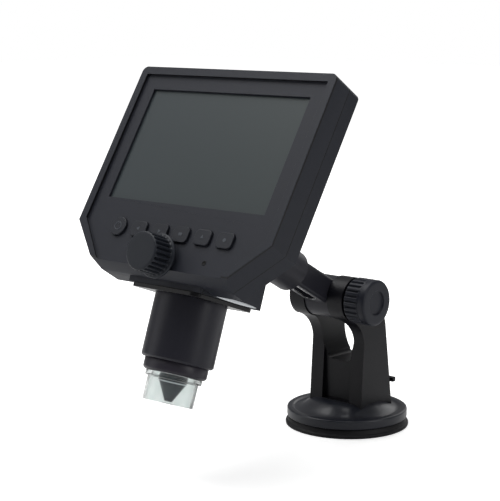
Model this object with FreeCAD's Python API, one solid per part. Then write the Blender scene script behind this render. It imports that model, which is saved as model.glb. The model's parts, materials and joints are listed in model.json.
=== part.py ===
import FreeCAD, Part
import math
import os

from FreeCAD import Placement, Rotation, Vector

os.makedirs("parts", exist_ok=True)

# A hand-held microscope with a 4.3 inch screen on a suction-cup stand. All sizes are millimetres.
# X is the device's right, Y points away from the user, Z is up. The origin is under the suction cup.

# Clearances
RUN = 0.06            # radial play of a turning fit
SLIDE = 0.15          # play round a sliding key or carriage
SEAT = 0.05           # play of a piece that drops into a pocket
AIR = 0.3             # gap between faces that pass each other

# Housing
WIDTH = 121.0
SIDE_HEIGHT = 84.9    # straight sides, top edge to the lower chamfers
FACE_HEIGHT = 102.0   # front face, top edge to the chin bevel
BODY_HEIGHT = 105.6   # top edge to the underside
DEPTH = 19.5
PARTING = 11.5        # front face to the parting line
CHIN_DEPTH = 7.0      # how far back the chin bevel reaches
WALL = 2.0
TOP_CORNER_R = 3.0
RIM = 4.1             # raised rim round the front panel
RIM_STEP = 1.5        # depth of the panel below the rim
LEAN = 32.6           # the screen leans back from upright, degrees
TOP_EDGE_Y = -89.1    # top front edge in the standing frame
TOP_EDGE_Z = 190.4

# Cover screws
SCREW_INSET = 6.2
POST_HALF = 3.4

# Display
WINDOW_W = 97.8
WINDOW_H = 59.1
WINDOW_TOP = 11.7
WINDOW_RECESS = 1.2
WINDOW_SHEET = 1.2
WINDOW_LIP = 2.0
LCD_W = 105.5
LCD_H = 67.2
LCD_T = 2.9
BOARD_T = 1.6
BOARD_SIDE_GAP = 4.5  # circuit board to the housing's side walls
BOARD_TOP = 8.0
BOARD_FOOT = 72.0
BATTERY_W = 50.0
BATTERY_H = 34.0
BATTERY_X = 24.0
BATTERY_DROP = 54.0

# Sockets and dimmer wheel in the left side
SOCKET_Y = 14.6       # front face to the middle of the openings
USB_DROP = 62.0
USB_H = 8.0
USB_T = 3.0
CARD_DROP = 44.0
CARD_H = 13.0
CARD_T = 2.2
SOCKET_AIR = 0.1
SOCKET_INSET = 0.4    # side of the housing to the sockets' mouths
DIMMER_DROP = 26.0
DIMMER_R = 7.0
DIMMER_T = 3.0
DIMMER_PROUD = 1.4    # how far the wheel stands out of the side
DIMMER_POST_R = 1.5

# Keys
KEY_COUNT = 5
KEY_PITCH = 13.4
KEY_DROP = 85.4       # top edge to the row of keys
KEY_W = 9.4
KEY_H = 7.6
KEY_R = 2.2
POWER_R = 4.7
KEY_PROUD = 1.3
KEY_TRAVEL = 0.8
KEY_FLANGE = 0.9
PLUNGER_R = 1.3
KEY_BOARD_Y = 8.4     # front face to the board behind the keys

# Optical column
COLUMN_ANGLE = 12.8   # the column stands this far off the screen plane, degrees
COLUMN_Y = 29.8       # column axis at the flange plate
COLUMN_DROP = 103.6
BLOCK_HALF_W = 22.5
BLOCK_FRONT = 20.5
BLOCK_BACK = 23.5
BLOCK_TOP = 46.0
PLATE = 42.0
PLATE_T = 2.0
PLATE_R = 4.0
BARREL_R = 17.2
BARREL_WALL = 1.8
BARREL_LEN = 32.2
TUBE_TOP = 3.0        # the barrel runs this far into the lens block
RING_R = 15.1
RING_LEN = 5.6
CAP_R = 12.0
CAP_WALL = 1.2
CAP_LEN = 13.6
CAP_FLANGE_R = 13.4
CAP_FLANGE_T = 2.6
HOOD_TOP_R = 6.5
HOOD_TIP_R = 1.8
HOOD_LEN = 8.4
HOOD_COLLAR_LEN = 5.6
LAMP_COUNT = 8
LAMP = 1.6
LAMP_T = 0.8
LAMP_RING_R = 8.6
CARRIAGE_R = 8.6
CARRIAGE_LEN = 44.0
CARRIAGE_BORE = 6.2

# Focus drive
GEAR_MODULE = 0.4
GEAR_TEETH = 18
GEAR_FACE = 3.0
BACKLASH = 0.08
KNOB_RISE = 12.6      # focus shaft above the flange plate
KNOB_R = 9.2
KNOB_SKIRT_R = 10.5
KNOB_LEN = 12.0
KNOB_RIBS = 24
KNOB_RIB_DEPTH = 0.9
KNOB_CROWN = 0.8      # smooth top above the ribs
KNOB_SKIRT_LEN = 1.8
KNOB_FOOT_Y = -28.3   # knob underside, in front of the optical axis
BOSS_R = 6.6          # boss on the front cover under the knob
SHAFT_R = 2.0
RACK_TEETH = 16

# Stand
ARM_SLOPE = 29.0      # the arm rises toward the device, degrees
PIVOT_Y = -16.6
PIVOT_Z = 71.5
BALL_REACH = 50.0     # pivot to ball centre
BALL_R = 7.5
SOCKET_R = 10.5
SOCKET_LEN = 24.0
NECK_R = 3.8
COLLAR_MOUTH_R = 6.2
ARM_H = 13.0
SLOT_START = 13.0     # pivot to the slot in the arm's underside
SLOT_HALF_W = 3.4
SLOT_DEPTH = 2.0
EAR_R = 11.5
FORK_GAP = 15.2
ARM_W = FORK_GAP - 2 * AIR
FORK_W = 34.0
FORK_FRONT_TOP = -8.2   # front edge of the legs where they start to lean forward
FORK_FRONT_FOOT = -10.6
FORK_BACK_TOP = 10.5    # back edge of the legs where they start to lean forward
FORK_BACK_FOOT = 17.0
FORK_BEND_FRONT = 47.0  # heights where the legs start to lean forward
FORK_BEND_BACK = 54.5
FORK_FOOT_Z = 8.2
GAP_FLOOR = 39.5        # height of the bottom of the gap
GAP_CORNER_R = 2.5
EAR_FRONT_ANGLE = 245.0  # where the legs' edges meet the ears, degrees from straight back
EAR_BACK_ANGLE = 55.0
EAR_FRONT_MIDDLE = 150.0
FRONT_FILLET = (-11.6, 55.0)  # middle of the arc under the ears, as (y, z)
BACK_SWEEP = (5.0, 67.0)      # middle of the arc behind the ears
WEB_HALF_W = 9.0        # recess in front of the web that joins the legs
WEB_FRONT = -7.2
BOLT_R = 3.0
CLAMP_KNOB_R = 11.8
CLAMP_KNOB_LEN = 12.7
CLAMP_KNOB_RIBS = 26
CLAMP_KNOB_RIM = 4.2    # smooth rim beyond the ribs
WASHER_R = 6.5
WASHER_T = 1.0
BOLT_HEAD_R = 5.0
BOLT_HEAD_T = 2.0
BASE_R = 31.9
CUP_R = 32.7
CUP_H = 4.6
BASE_H = 9.4
DOME_R = 24.0
DOME_TOP = 14.0
LEVER_PIN_Z = 21.0
LEVER_PIN_R = 2.0
LEVER_W = 7.2
STEM_R = 3.0
STEM_FOOT_R = 4.5
STEM_FOOT_T = 0.9
STEM_RISE = 1.2
HUB_R = 6.0             # hole in the base cover round the stem's foot
CAM_R = 5.6
PADDLE_HALF_W = 17.2
PADDLE_NEAR = 17.8
PADDLE_FAR = 20.8
PADDLE_T = 2.4


def box(x0, x1, y0, y1, z0, z1):
    return Part.makeBox(x1 - x0, y1 - y0, z1 - z0, Vector(x0, y0, z0))


def rod(r, x, y, z, axis, length):
    return Part.makeCylinder(r, length, Vector(x, y, z), axis)


def prism(points, offset, sweep):
    """A closed polygon of points, pushed along sweep."""
    ring = [Vector(*p) + offset for p in points]
    face = Part.Face(Part.makePolygon(ring + ring[:1]))
    return face.extrude(sweep)


def slab(points, y0, y1):
    """A polygon of (x, z) points between two depths."""
    return prism([(x, 0, z) for x, z in points], Vector(0, y0, 0), Vector(0, y1 - y0, 0))


def side_profile(points, half_w):
    """A polygon of (y, z) points, as wide as half_w each side of the middle."""
    return prism([(0, y, z) for y, z in points], Vector(-half_w, 0, 0), Vector(2 * half_w, 0, 0))


def eight_sided(half_w, half_h, cut, x, z, y0, y1):
    """A plate across Y with its corners cut off."""
    corner = [(half_w, half_h - cut), (half_w - cut, half_h)]
    ring = []
    for turn_x, turn_z in ((1, 1), (-1, 1), (-1, -1), (1, -1)):
        points = [(x + turn_x * a, z + turn_z * b) for a, b in corner]
        ring += points if turn_x == turn_z else points[::-1]
    return slab(ring, y0, y1)


def plain_bar(w, h, y0, y1, z):
    """A bar along Y with a w by h section, centred on x = 0."""
    return box(-w / 2, w / 2, y0, y1, z - h / 2, z + h / 2)


def round_bar(w, h, r, y0, y1, x=0.0, z=0.0):
    """A bar along Y with a w by h section and rounded long edges."""
    bar = box(x - w / 2, x + w / 2, y0, y1, z - h / 2, z + h / 2)
    return bar.makeFillet(r, edges_along(bar, Vector(0, 1, 0)))


def edges_along(shape, direction):
    found = []
    for edge in shape.Edges:
        if isinstance(edge.Curve, Part.Line) and abs(abs(edge.Curve.Direction.dot(direction)) - 1) < 1e-6:
            found.append(edge)
    return found


def turned(points):
    """A solid of revolution about Z from (radius, height) points."""
    face = Part.Face(Part.makePolygon([Vector(r, 0, z) for r, z in points + points[:1]]))
    return face.revolve(Vector(0, 0, 0), Vector(0, 0, 1), 360)


X = Vector(1, 0, 0)
Y = Vector(0, 1, 0)
Z = Vector(0, 0, 1)

# The device frame has its origin on the top front edge, Y through the case and Z up the screen.
DEVICE = Placement(Vector(0, TOP_EDGE_Y, TOP_EDGE_Z), Rotation(X, -LEAN))
# The column frame has its origin on the flange plate and Z up the optical axis.
COLUMN = DEVICE.multiply(Placement(Vector(0, COLUMN_Y, -COLUMN_DROP), Rotation(X, COLUMN_ANGLE)))
# The arm frame has its origin on the pivot and Y toward the device.
ARM = Placement(Vector(0, PIVOT_Y, PIVOT_Z), Rotation(Z, 180).multiply(Rotation(X, ARM_SLOPE)))


def placed(shape, frame):
    moved = shape.copy()
    moved.Placement = frame.multiply(moved.Placement)
    return moved


def column_to_device(shape):
    return placed(shape, DEVICE.inverse().multiply(COLUMN))


nodes = {}


def keep(name, shape, frame=None):
    nodes[name] = placed(shape, frame) if frame else shape


# Housing outline, rim and chin
def outline(inset=0.0, height=BODY_HEIGHT):
    half = WIDTH / 2 - inset
    chamfer = height - SIDE_HEIGHT
    lift = inset * math.tan(math.radians(22.5))
    return [(-half, -inset), (half, -inset), (half, -SIDE_HEIGHT + lift),
            (half - chamfer + lift, -height), (-half + chamfer - lift, -height),
            (-half, -SIDE_HEIGHT + lift)]


def case_outside():
    case = slab(outline(), 0, DEPTH)
    top = [e for e in edges_along(case, Y) if e.CenterOfMass.z > -1]
    case = case.makeFillet(TOP_CORNER_R, top)
    bevel = side_profile([(-1, -FACE_HEIGHT + 1), (0, -FACE_HEIGHT), (CHIN_DEPTH, -BODY_HEIGHT),
                          (CHIN_DEPTH, -BODY_HEIGHT - 2), (-1, -BODY_HEIGHT - 2)], WIDTH)
    return case.cut(bevel)


def block_outside(inset=0.0):
    back = BLOCK_BACK - inset
    top = BLOCK_TOP - inset
    points = [(-BLOCK_FRONT + inset, inset and WALL), (back, inset and WALL), (back, top - 14), (back - 17, top),
              (-BLOCK_FRONT + inset, top)]
    block = side_profile(points, BLOCK_HALF_W - inset)
    return column_to_device(block)


def case_inside():
    hollow = slab(outline(WALL), WALL + RIM_STEP, DEPTH - WALL)
    floor = box(-WIDTH, WIDTH, -1, DEPTH, -BODY_HEIGHT - 5, -FACE_HEIGHT + WALL)
    return hollow.cut(floor)


outside = case_outside().fuse(block_outside()).removeSplitter()
keep_in = box(-WIDTH, WIDTH, -0.001, 90, -130, 1)
outside = outside.common(keep_in)
inside = case_inside().fuse(block_outside(WALL).common(box(-90, 90, WALL + RIM_STEP, 90, -130, 0)))
front_half = box(-WIDTH, WIDTH, -20, PARTING, -150, 20)

# Front cover with its recessed panel, window, key holes and knob boss
panel = slab(outline(RIM, BODY_HEIGHT + 10), -1, RIM_STEP)
glass_y = RIM_STEP + WINDOW_RECESS
window_mid = -WINDOW_TOP - WINDOW_H / 2
window_hole = plain_bar(WINDOW_W, WINDOW_H, -1, DEPTH, window_mid)
window_seat = plain_bar(WINDOW_W + 2 * WINDOW_LIP, WINDOW_H + 2 * WINDOW_LIP, glass_y, DEPTH, window_mid)
key_x = [KEY_PITCH * (i - KEY_COUNT / 2) for i in range(KEY_COUNT + 1)]
front = outside.common(front_half).cut(panel).cut(inside)
pad = box(-WINDOW_W / 2 - 6, WINDOW_W / 2 + 6, RIM_STEP, glass_y + WINDOW_SHEET, -WINDOW_TOP - WINDOW_H - 6,
          -WINDOW_TOP + 6)
front = front.fuse(pad)
boss = column_to_device(rod(BOSS_R, 0, KNOB_FOOT_Y + AIR, KNOB_RISE, Y, 7.5))
front = front.fuse(boss.common(box(-20, 20, -3, PARTING, -130, 0)))
front = front.cut(window_hole).cut(window_seat)
shaft_hole = column_to_device(rod(SHAFT_R + RUN, 0, KNOB_FOOT_Y - 5, KNOB_RISE, Y, 20))
front = front.cut(shaft_hole)
front = front.cut(rod(POWER_R + SLIDE, key_x[0], -1, -KEY_DROP, Y, 8))
for x in key_x[1:]:
    front = front.cut(round_bar(KEY_W + 2 * SLIDE, KEY_H + 2 * SLIDE, KEY_R, -1, 7, x=x, z=-KEY_DROP))
for x in (-key_x[-1] - 9, key_x[-1] + 9):
    front = front.fuse(box(x - 2, x + 2, RIM_STEP + 1, KEY_BOARD_Y, -KEY_DROP + 1, -KEY_DROP + 5))
front = front.cut(column_to_device(rod(BARREL_R + SEAT, 0, 0, -5, Z, 12)))
keep("front_cover", front, DEVICE)

# Rear cover with the lens block
rear = outside.cut(front_half).cut(inside)
rear = rear.cut(column_to_device(rod(BARREL_R + SEAT, 0, 0, -5, Z, 12)))
for drop, high, thick in ((USB_DROP, USB_H, USB_T), (CARD_DROP, CARD_H, CARD_T)):
    half_t = thick / 2 + SOCKET_AIR
    half_h = high / 2 + SOCKET_AIR
    rear = rear.cut(box(-WIDTH / 2 - 1, -WIDTH / 2 + WALL + 1, SOCKET_Y - half_t, SOCKET_Y + half_t,
                        -drop - half_h, -drop + half_h))
dimmer_x = -WIDTH / 2 + DIMMER_R - DIMMER_PROUD
rear = rear.cut(rod(DIMMER_R + AIR, dimmer_x, SOCKET_Y - DIMMER_T / 2 - AIR, -DIMMER_DROP, Y, DIMMER_T + 2 * AIR))
for x in (-WIDTH / 2 + SCREW_INSET, WIDTH / 2 - SCREW_INSET):
    for z in (-SCREW_INSET, -SIDE_HEIGHT + 3):
        post = box(x - POST_HALF, x + POST_HALF, PARTING, DEPTH - WALL + 0.5, z - POST_HALF, z + POST_HALF)
        rear = rear.fuse(post.common(outside))
keep("rear_cover", rear, DEVICE)

# Display
sheet_w = WINDOW_W + 2 * WINDOW_LIP - 2 * SEAT
sheet_h = WINDOW_H + 2 * WINDOW_LIP - 2 * SEAT
keep("display_window", plain_bar(sheet_w, sheet_h, glass_y, glass_y + WINDOW_SHEET, window_mid), DEVICE)
lcd_y = glass_y + WINDOW_SHEET
keep("lcd_panel", plain_bar(LCD_W, LCD_H, lcd_y, lcd_y + LCD_T, window_mid), DEVICE)
board_y = lcd_y + LCD_T
board_back = board_y + BOARD_T
board_half_w = WIDTH / 2 - WALL - BOARD_SIDE_GAP
board = box(-board_half_w, board_half_w, board_y, board_back, -BOARD_FOOT, -BOARD_TOP)
board = board.fuse(box(-20, -6, board_back, board_back + 1.0, -40, -26))
board = board.fuse(box(8, 16, board_back, board_back + 1.4, -30, -22))
keep("main_board", board, DEVICE)
battery = round_bar(BATTERY_W, BATTERY_H, 2, board_back + 1.4, DEPTH - WALL, x=BATTERY_X, z=-BATTERY_DROP)
keep("battery_pack", battery, DEVICE)

# Keys and the board under them
stem_y = RIM_STEP + WALL
post_x = key_x[-1] + 9
for i, x in enumerate(key_x):
    if i == 0:
        cap = rod(POWER_R, x, RIM_STEP - KEY_PROUD, -KEY_DROP, Y, stem_y + 0.2 - RIM_STEP + KEY_PROUD)
        flange = rod(POWER_R + KEY_FLANGE, x, stem_y + 0.2, -KEY_DROP, Y, 1.0)
    else:
        cap = round_bar(KEY_W, KEY_H, KEY_R, RIM_STEP - KEY_PROUD, stem_y + 0.2, x=x, z=-KEY_DROP)
        flange = eight_sided(KEY_W / 2 + KEY_FLANGE, KEY_H / 2 + KEY_FLANGE, KEY_R, x, -KEY_DROP, stem_y + 0.2,
                             stem_y + 1.2)
    plunger = box(x - PLUNGER_R, x + PLUNGER_R, stem_y + 1.2, KEY_BOARD_Y - 1.6 - KEY_TRAVEL,
                  -KEY_DROP - PLUNGER_R, -KEY_DROP + PLUNGER_R)
    name = "power_button" if i == 0 else f"key_button_{i}"
    keep(name, cap.fuse(flange).fuse(plunger).removeSplitter(), DEVICE)
key_board = box(-post_x - 2.5, post_x + 2.5, KEY_BOARD_Y, KEY_BOARD_Y + 1.4, -KEY_DROP - 4, -KEY_DROP + 6)
for x in key_x:
    key_board = key_board.fuse(box(x - 3, x + 3, KEY_BOARD_Y - 1.5, KEY_BOARD_Y, -KEY_DROP - 3, -KEY_DROP + 3))
keep("key_board", key_board, DEVICE)


# Optical column: flange plate, barrel, end ring and light ring
def square_plate(side, r, z0, z1):
    plate = box(-side / 2, side / 2, -side / 2, side / 2, z0, z1)
    return plate.makeFillet(r, edges_along(plate, Z))


plate = square_plate(PLATE, PLATE_R, -PLATE_T, 0).cut(rod(BARREL_R + SEAT, 0, 0, -5, Z, 10))
keep("flange_plate", plate, COLUMN)
barrel = turned([(BARREL_R, TUBE_TOP), (BARREL_R, -BARREL_LEN),
                 (RING_R - 2.6, -BARREL_LEN), (RING_R - 2.6, -BARREL_LEN + 1.6),
                 (BARREL_R - BARREL_WALL, -BARREL_LEN + 1.6), (BARREL_R - BARREL_WALL, TUBE_TOP)])
keep("barrel_tube", barrel, COLUMN)
ring_z = -BARREL_LEN - RING_LEN
ring = turned([(RING_R, -BARREL_LEN), (RING_R, ring_z), (CAP_R - 2.0, ring_z),
               (CAP_R - 2.0, ring_z + 1.5), (RING_R - 1.8, ring_z + 1.5), (RING_R - 1.8, -BARREL_LEN)])
keep("barrel_ring", ring, COLUMN)
led_z = ring_z + 1.5
led_board = turned([(RING_R - 1.9, led_z + 1.2), (RING_R - 1.9, led_z), (CARRIAGE_BORE + 1.0, led_z),
                    (CARRIAGE_BORE + 1.0, led_z + 1.2)])
keep("led_board", led_board, COLUMN)
leds = []
for i in range(LAMP_COUNT):
    angle = 2 * math.pi * i / LAMP_COUNT
    lamp = box(-LAMP / 2, LAMP / 2, LAMP_RING_R - LAMP / 2, LAMP_RING_R + LAMP / 2, led_z - LAMP_T, led_z)
    lamp.rotate(Vector(0, 0, 0), Z, math.degrees(angle))
    leds.append(lamp)
keep("led_lamps", Part.makeCompound(leds), COLUMN)
hood_top = led_z + 1.2
hood_waist = led_z - HOOD_COLLAR_LEN
hood_tip = hood_waist - HOOD_LEN
hood = turned([(CARRIAGE_BORE + 2.2, hood_top + 0.8), (CARRIAGE_BORE + 2.2, hood_top),
               (CARRIAGE_BORE + 0.9, hood_top), (HOOD_TOP_R, hood_waist), (HOOD_TIP_R, hood_tip),
               (HOOD_TIP_R - 0.8, hood_tip), (HOOD_TOP_R - 1.2, hood_waist), (CARRIAGE_BORE - 0.6, hood_top + 0.8)])
keep("lens_hood", hood, COLUMN)
cap_z = ring_z
cap = turned([(CAP_R - CAP_WALL, cap_z), (CAP_FLANGE_R, cap_z), (CAP_FLANGE_R, cap_z - CAP_FLANGE_T),
              (CAP_R, cap_z - CAP_FLANGE_T), (CAP_R, cap_z - CAP_LEN), (CAP_R - CAP_WALL, cap_z - CAP_LEN)])
keep("clear_cap", cap, COLUMN)

# Focus drive: lens carriage with its rack, pinion shaft and knob
pitch_r = GEAR_MODULE * GEAR_TEETH / 2
gear_y = -CARRIAGE_R - 1.4 - GEAR_FACE
carriage_low = hood_top + 8.0
carriage = turned([(CARRIAGE_R, carriage_low), (CARRIAGE_R, carriage_low + CARRIAGE_LEN),
                   (CARRIAGE_BORE, carriage_low + CARRIAGE_LEN), (CARRIAGE_BORE, carriage_low)])


def ribbed(radius, depth, count, share=0.6):
    """The outline of a ribbed rim as (a, b) points, with share of each step standing proud."""
    points = []
    step = 2 * math.pi / count
    for rib in range(count):
        start = rib * step
        for turn, r in ((0, radius), (share, radius), ((1 + share) / 2, radius - depth)):
            angle = start + turn * step
            points.append((r * math.cos(angle), r * math.sin(angle)))
    return points


def involute(radius, base):
    return math.sqrt((radius / base) ** 2 - 1)


def pinion_profile():
    base = pitch_r * math.cos(math.radians(20))
    tip = pitch_r + GEAR_MODULE
    root = pitch_r - 1.25 * GEAR_MODULE
    inv_pitch = math.tan(math.radians(20)) - math.radians(20)
    half = (math.pi * GEAR_MODULE / 2 - BACKLASH) / (2 * pitch_r)
    points = []
    for tooth in range(GEAR_TEETH):
        middle = 2 * math.pi * tooth / GEAR_TEETH
        flank = []
        for step in range(3):
            radius = base + (tip - base) * step / 2
            roll = involute(radius, base)
            turn = half + inv_pitch - (roll - math.atan(roll))
            flank.append((radius, turn))
        low = (root, half + inv_pitch)
        for radius, turn in [low] + flank:
            points.append((radius * math.cos(middle - turn), radius * math.sin(middle - turn)))
        for radius, turn in reversed([low] + flank):
            points.append((radius * math.cos(middle + turn), radius * math.sin(middle + turn)))
    return points


gear = prism([(x, 0, z) for x, z in pinion_profile()], Vector(0, gear_y, KNOB_RISE), Vector(0, GEAR_FACE, 0))
shaft = rod(SHAFT_R, 0, KNOB_FOOT_Y + 1.0, KNOB_RISE, Y, gear_y + GEAR_FACE - KNOB_FOOT_Y - 1.0)
keep("focus_shaft", shaft.fuse(gear).removeSplitter(), COLUMN)

rack_pitch = math.pi * GEAR_MODULE
rack_half = rack_pitch / 4 - BACKLASH / 2
slope = math.tan(math.radians(20))
rack_low = KNOB_RISE - rack_pitch * RACK_TEETH / 2
rack_high = KNOB_RISE + rack_pitch * RACK_TEETH / 2
rack_root = pitch_r + 1.25 * GEAR_MODULE
rack_back = pitch_r + 3.0
rack_points = [(rack_back, rack_low), (rack_root, rack_low)]
for tooth in range(RACK_TEETH):
    middle = KNOB_RISE + rack_pitch * (tooth + 0.5 - RACK_TEETH / 2)
    for side, reach in ((-1, -1.25), (-1, 1), (1, 1), (1, -1.25)):
        x = pitch_r - reach * GEAR_MODULE
        rack_points.append((x, middle + side * (rack_half - reach * GEAR_MODULE * slope)))
rack_points += [(rack_root, rack_high), (rack_back, rack_high)]
rack = prism([(x, 0, z) for x, z in rack_points], Vector(0, gear_y, 0), Vector(0, GEAR_FACE, 0))
web = box(rack_root + 0.1, rack_back, gear_y, -4.0, rack_low, rack_high)
web = web.cut(rod(CARRIAGE_R - 0.5, 0, 0, -50, Z, 150))
carriage = carriage.fuse(web).fuse(rack).removeSplitter()
keep("lens_carriage", carriage, COLUMN)
lens_r = CARRIAGE_BORE - SEAT
lens = turned([(0, carriage_low + 4), (lens_r, carriage_low + 4), (lens_r, carriage_low + 7), (0, carriage_low + 7)])
keep("objective_lens", lens, COLUMN)

sensor_z = KNOB_RISE + 19.0
guide_r = CARRIAGE_R + SLIDE
guide = turned([(BARREL_R - SEAT, TUBE_TOP), (BARREL_R - SEAT, TUBE_TOP + 2), (guide_r + 1.6, TUBE_TOP + 2),
                (guide_r + 1.6, sensor_z), (guide_r, sensor_z), (guide_r, TUBE_TOP)])
guide = guide.cut(box(-pitch_r - 1.2, pitch_r + 3.6, -30, 0, 0, sensor_z - 3))
keep("carriage_guide", guide.removeSplitter(), COLUMN)
sensor = box(-12, 12, -10, 12, sensor_z, sensor_z + BOARD_T).fuse(box(-4, 4, -4, 4, sensor_z - 1.2, sensor_z))
keep("sensor_board", sensor, COLUMN)

knob = Part.makeCylinder(KNOB_SKIRT_R, KNOB_SKIRT_LEN)
knob = knob.fuse(prism([(x, y, KNOB_SKIRT_LEN) for x, y in ribbed(KNOB_R, KNOB_RIB_DEPTH, KNOB_RIBS)],
                       Vector(0, 0, 0), Vector(0, 0, KNOB_LEN - KNOB_CROWN - KNOB_SKIRT_LEN)))
knob = knob.fuse(Part.makeCylinder(KNOB_R - KNOB_RIB_DEPTH, KNOB_CROWN, Vector(0, 0, KNOB_LEN - KNOB_CROWN)))
knob = knob.cut(Part.makeCylinder(SHAFT_R + SEAT, 6, Vector(0, 0, -1), Z))
knob.Placement = Placement(Vector(0, KNOB_FOOT_Y, KNOB_RISE), Rotation(X, 90))
keep("focus_knob", knob, COLUMN)

# Dimmer wheel and sockets
dimmer = prism([(x, 0, z) for x, z in ribbed(DIMMER_R, 0.5, 20)],
               Vector(dimmer_x, SOCKET_Y - DIMMER_T / 2, -DIMMER_DROP), Vector(0, DIMMER_T, 0))
dimmer = dimmer.cut(rod(DIMMER_POST_R + RUN, dimmer_x, SOCKET_Y - 2, -DIMMER_DROP, Y, 4))
keep("dimmer_wheel", dimmer, DEVICE)
dimmer_post = rod(DIMMER_POST_R, dimmer_x, board_back, -DIMMER_DROP, Y, SOCKET_Y + DIMMER_T / 2 - board_back)
dimmer_post = dimmer_post.fuse(box(dimmer_x - 3, dimmer_x + 3, board_back, board_back + 0.6,
                                   -DIMMER_DROP - 3, -DIMMER_DROP + 3))
keep("dimmer_post", dimmer_post, DEVICE)
side = -WIDTH / 2
mouth = side + SOCKET_INSET
usb = box(mouth, mouth + 6, SOCKET_Y - USB_T / 2, SOCKET_Y + USB_T / 2, -USB_DROP - USB_H / 2, -USB_DROP + USB_H / 2)
usb = usb.cut(box(side, side + 5, SOCKET_Y - 0.9, SOCKET_Y + 0.9, -USB_DROP - 3.4, -USB_DROP + 3.4))
keep("usb_socket", usb, DEVICE)
card = box(mouth, side + 15, SOCKET_Y - CARD_T / 2, SOCKET_Y + CARD_T / 2, -CARD_DROP - CARD_H / 2,
           -CARD_DROP + CARD_H / 2)
card = card.cut(box(side, side + 14, SOCKET_Y - 0.5, SOCKET_Y + 0.5, -CARD_DROP - 5.6, -CARD_DROP + 5.6))
keep("card_socket", card, DEVICE)

# Mount plate with its ball, on the back of the lens block
ball_world = ARM.multVec(Vector(0, BALL_REACH, 0))
ball_column = COLUMN.inverse().multVec(ball_world)
mount_low = ball_column.z - 17
mount = box(-18, 18, BLOCK_BACK, BLOCK_BACK + 3.5, mount_low, mount_low + 34)
mount = mount.makeFillet(4, edges_along(mount, Y))
neck = rod(NECK_R, 0, BLOCK_BACK + 3, ball_column.z, Y, ball_column.y - BLOCK_BACK - 3)
mount = mount.fuse(neck).fuse(Part.makeSphere(BALL_R, ball_column))
keep("ball_plate", mount.removeSplitter(), COLUMN)

# Arm with ball socket and lock collar
arm_inner = BALL_REACH - 12.0
eye = rod(EAR_R - 0.6, -ARM_W / 2, 0, 0, X, ARM_W)
bar = round_bar(ARM_W, ARM_H, 2.0, 4, arm_inner)
arm = eye.fuse(bar)
arm = arm.fuse(rod(SOCKET_R - 2.2, 0, arm_inner, 0, Y, 12 + 3.2))
touch = (BALL_R + RUN) * math.sin(math.radians(45))
seat_depth = 2 * touch
seat_bore = SOCKET_R - 2.9
seat = Part.makeCone(0, seat_bore, seat_bore, Vector(0, BALL_REACH - seat_depth, 0), Y)
seat = seat.fuse(rod(seat_bore, 0, BALL_REACH - seat_depth + seat_bore, 0, Y, 20))
arm = arm.cut(seat)
arm = arm.cut(rod(BOLT_R + RUN, -20, 0, 0, X, 40))
slot_end = SLOT_START + SLOT_HALF_W
slot_low = -ARM_H / 2 - 1
slot = Part.makeCylinder(SLOT_HALF_W, SLOT_DEPTH + 1, Vector(0, slot_end, slot_low), Z)
slot = slot.fuse(box(-SLOT_HALF_W, SLOT_HALF_W, slot_end, arm_inner - 2, slot_low, -ARM_H / 2 + SLOT_DEPTH))
arm = arm.cut(slot)
keep("arm", arm.removeSplitter(), ARM)
collar_y = arm_inner - 2.0
collar = rod(SOCKET_R, 0, collar_y, 0, Y, SOCKET_LEN)
collar = collar.cut(rod(SOCKET_R - 2.2 + RUN, 0, arm_inner, 0, Y, 12 + 3.4))
collar = collar.cut(rod(COLLAR_MOUTH_R, 0, arm_inner, 0, Y, SOCKET_LEN + 5))
collar = collar.cut(round_bar(ARM_W + 0.2, ARM_H + 0.2, 2.0, 0, arm_inner + 0.01))
lip_start = arm_inner + 12 + 3.4
lip_r = seat_depth - (lip_start - BALL_REACH)
collar = collar.cut(Part.makeCone(lip_r, COLLAR_MOUTH_R, lip_r - COLLAR_MOUTH_R, Vector(0, lip_start, 0), Y))
keep("lock_collar", collar, ARM)

# Pivot bolt, washer and clamp knob
ear_out = FORK_W / 2
knob_x = ear_out + WASHER_T + 0.1
bolt = rod(BOLT_R, -ear_out, 0, 0, X, 2 * ear_out + WASHER_T + 8)
head = rod(BOLT_HEAD_R, -ear_out - BOLT_HEAD_T, 0, 0, X, BOLT_HEAD_T)
pivot = Placement(Vector(0, PIVOT_Y, PIVOT_Z), Rotation())
keep("pivot_bolt", bolt.fuse(head).removeSplitter(), pivot)
washer = rod(WASHER_R, ear_out, 0, 0, X, WASHER_T).cut(rod(BOLT_R + RUN, ear_out - 1, 0, 0, X, 5))
keep("pivot_washer", washer, pivot)
rib_len = CLAMP_KNOB_LEN - CLAMP_KNOB_RIM
clamp = rod(CLAMP_KNOB_R, knob_x + rib_len, 0, 0, X, CLAMP_KNOB_LEN - rib_len)
clamp = clamp.makeChamfer(1.0, [e for e in clamp.Edges if e.CenterOfMass.x > knob_x + CLAMP_KNOB_LEN - 0.1])
clamp = clamp.fuse(prism([(0, y, z) for y, z in ribbed(CLAMP_KNOB_R, 0.9, CLAMP_KNOB_RIBS)], Vector(knob_x, 0, 0),
                         Vector(rib_len, 0, 0)))
clamp = clamp.cut(rod(BOLT_R + RUN, knob_x - 1, 0, 0, X, 9))
clamp = clamp.cut(rod(6.0, knob_x + CLAMP_KNOB_LEN - 1.0, 0, 0, X, 2))
keep("clamp_knob", clamp, pivot)


# Fork upright: two legs that lean forward into the ears, and the web that joins them
def on_ear(angle):
    """A point on the ear's rim, as (y, z), at an angle from straight back."""
    turn = math.radians(angle)
    return (PIVOT_Y + EAR_R * math.cos(turn), PIVOT_Z + EAR_R * math.sin(turn))


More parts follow.
